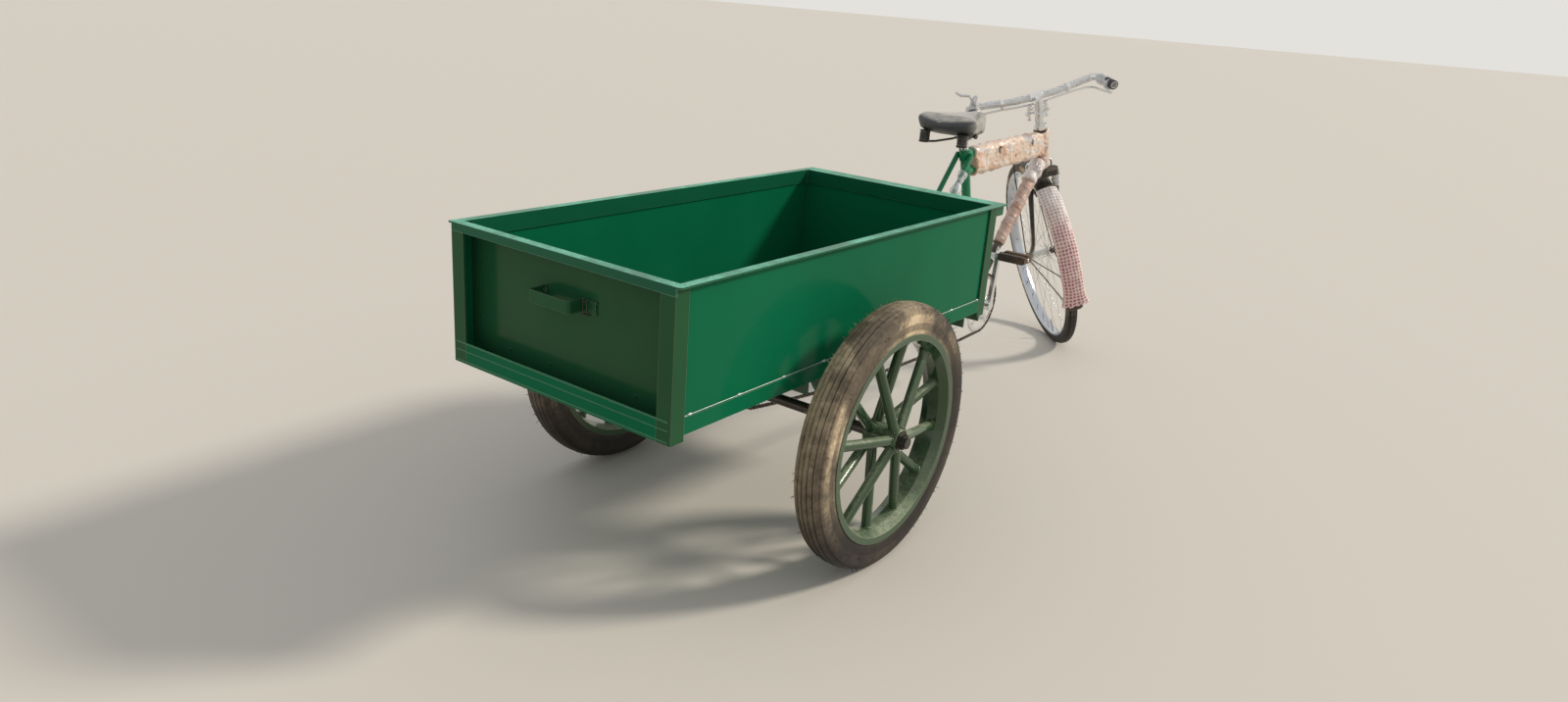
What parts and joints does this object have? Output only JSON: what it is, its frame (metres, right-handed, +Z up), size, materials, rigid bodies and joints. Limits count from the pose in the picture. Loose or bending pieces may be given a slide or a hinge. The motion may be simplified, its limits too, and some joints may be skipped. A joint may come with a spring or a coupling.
{
  "type": "cargo tricycle rickshaw",
  "caption": "Cargo tricycle with an open steel load box on tube-spoked rear wheels and a roadster bicycle's wrapped frame, saddle, pedals, chain drive and steered front wheel.",
  "frame": {"origin": "on the ground, at the middle of the overall length and width", "axes": "+Z up, -Y towards the front wheel, +X towards the rider's left"},
  "size_m": [0.9406, 2.7513, 1.0304],
  "materials": {
    "box_paint": "gloss enamel, chalky and scratched at the edges",
    "frame_paint": "gloss enamel",
    "wheel_paint": "gloss enamel with rust at the rim",
    "under_paint": "dusty enamel",
    "fork_paint": "gloss black",
    "guard_paint": "gloss black",
    "axle_steel": "oiled bar",
    "bearing_iron": "rough",
    "chain_steel": "oiled",
    "chrome": "bright",
    "spoke_steel": "bright",
    "tyre_rubber": "dusty",
    "grip_rubber": "satin",
    "pedal_rubber": "worn",
    "saddle_cover": "padded cover",
    "wrap_paper": "torn wrapping paper and film",
    "net_film": "bubble net wrap"
  },
  "bodies": {
    "chassis": {"top_rim": "box_paint", "corner_posts": "box_paint", "bottom_rails": "box_paint", "left_panel": "box_paint", "right_panel": "box_paint", "front_panel": "box_paint", "rear_panel": "box_paint", "floor_panel": "box_paint", "rear_handle": "box_paint", "chassis_beams": "under_paint", "cross_members": "under_paint", "axle_hangers": "under_paint", "axle_bearings": "bearing_iron", "chain": "chain_steel", "bottom_bracket": "frame_paint", "seat_tube": "frame_paint", "head_tube": "fork_paint", "top_tubes": "frame_paint", "down_tube": "fork_paint", "seat_stays": "frame_paint", "chain_stays": "fork_paint", "top_wrap": "wrap_paper", "down_wrap": "wrap_paper", "seat_post": "chrome", "saddle": "saddle_cover", "saddle_springs": "fork_paint"},
    "steering": {"fork": "fork_paint", "head_nuts": "chrome", "stem": "chrome", "handlebar": "chrome", "grips": "grip_rubber", "brake_levers": "chrome", "brake_rods": "chrome", "brake_pads": "pedal_rubber", "front_axle": "axle_steel", "front_mudguard": "guard_paint", "mudguard_net": "net_film"},
    "front_roller": {"front_tyre": "tyre_rubber", "front_rim": "chrome", "front_spokes": "spoke_steel"},
    "driven_roller": {"rear_axle": "axle_steel", "rear_sprocket": "chain_steel", "axle_nuts": "fork_paint", "right_wheel": "wheel_paint", "right_rim": "wheel_paint", "right_tyre": "tyre_rubber"},
    "free_roller": {"left_wheel": "wheel_paint", "left_rim": "wheel_paint", "left_tyre": "tyre_rubber"},
    "crankset": {"chainring": "chrome", "cranks": "chrome"},
    "pedal_right": {"right_pedal": "pedal_rubber"},
    "pedal_left": {"left_pedal": "pedal_rubber"}
  },
  "joints": [
    {"name": "steering_turn", "type": "hinge", "parent": "chassis", "child": "steering", "pos_m": [0, -0.82563, 0.76342], "axis": [0, 0.4384, 0.8988], "range_deg": [-104.7, 15.3]},
    {"name": "front_wheel_spin", "type": "hinge", "parent": "steering", "child": "front_roller", "pos_m": [0.05683, -1.09643, 0.3392], "axis": [0.7108, 0.6322, -0.3083], "continuous": true},
    {"name": "rear_axle_spin", "type": "hinge", "parent": "chassis", "child": "driven_roller", "pos_m": [0, 0.78323, 0.305], "axis": [1, 0, 0], "continuous": true},
    {"name": "left_wheel_spin", "type": "hinge", "parent": "driven_roller", "child": "free_roller", "pos_m": [0.4105, 0.78323, 0.305], "axis": [1, 0, 0], "continuous": true},
    {"name": "crank_spin", "type": "hinge", "parent": "chassis", "child": "crankset", "pos_m": [0, -0.42177, 0.292], "axis": [1, 0, 0], "continuous": true},
    {"name": "right_pedal_spin", "type": "hinge", "parent": "crankset", "child": "pedal_right", "pos_m": [-0.125, -0.43954, 0.46107], "axis": [1, 0, 0], "continuous": true},
    {"name": "left_pedal_spin", "type": "hinge", "parent": "crankset", "child": "pedal_left", "pos_m": [0.125, -0.404, 0.12293], "axis": [1, 0, 0], "continuous": true}
  ]
}
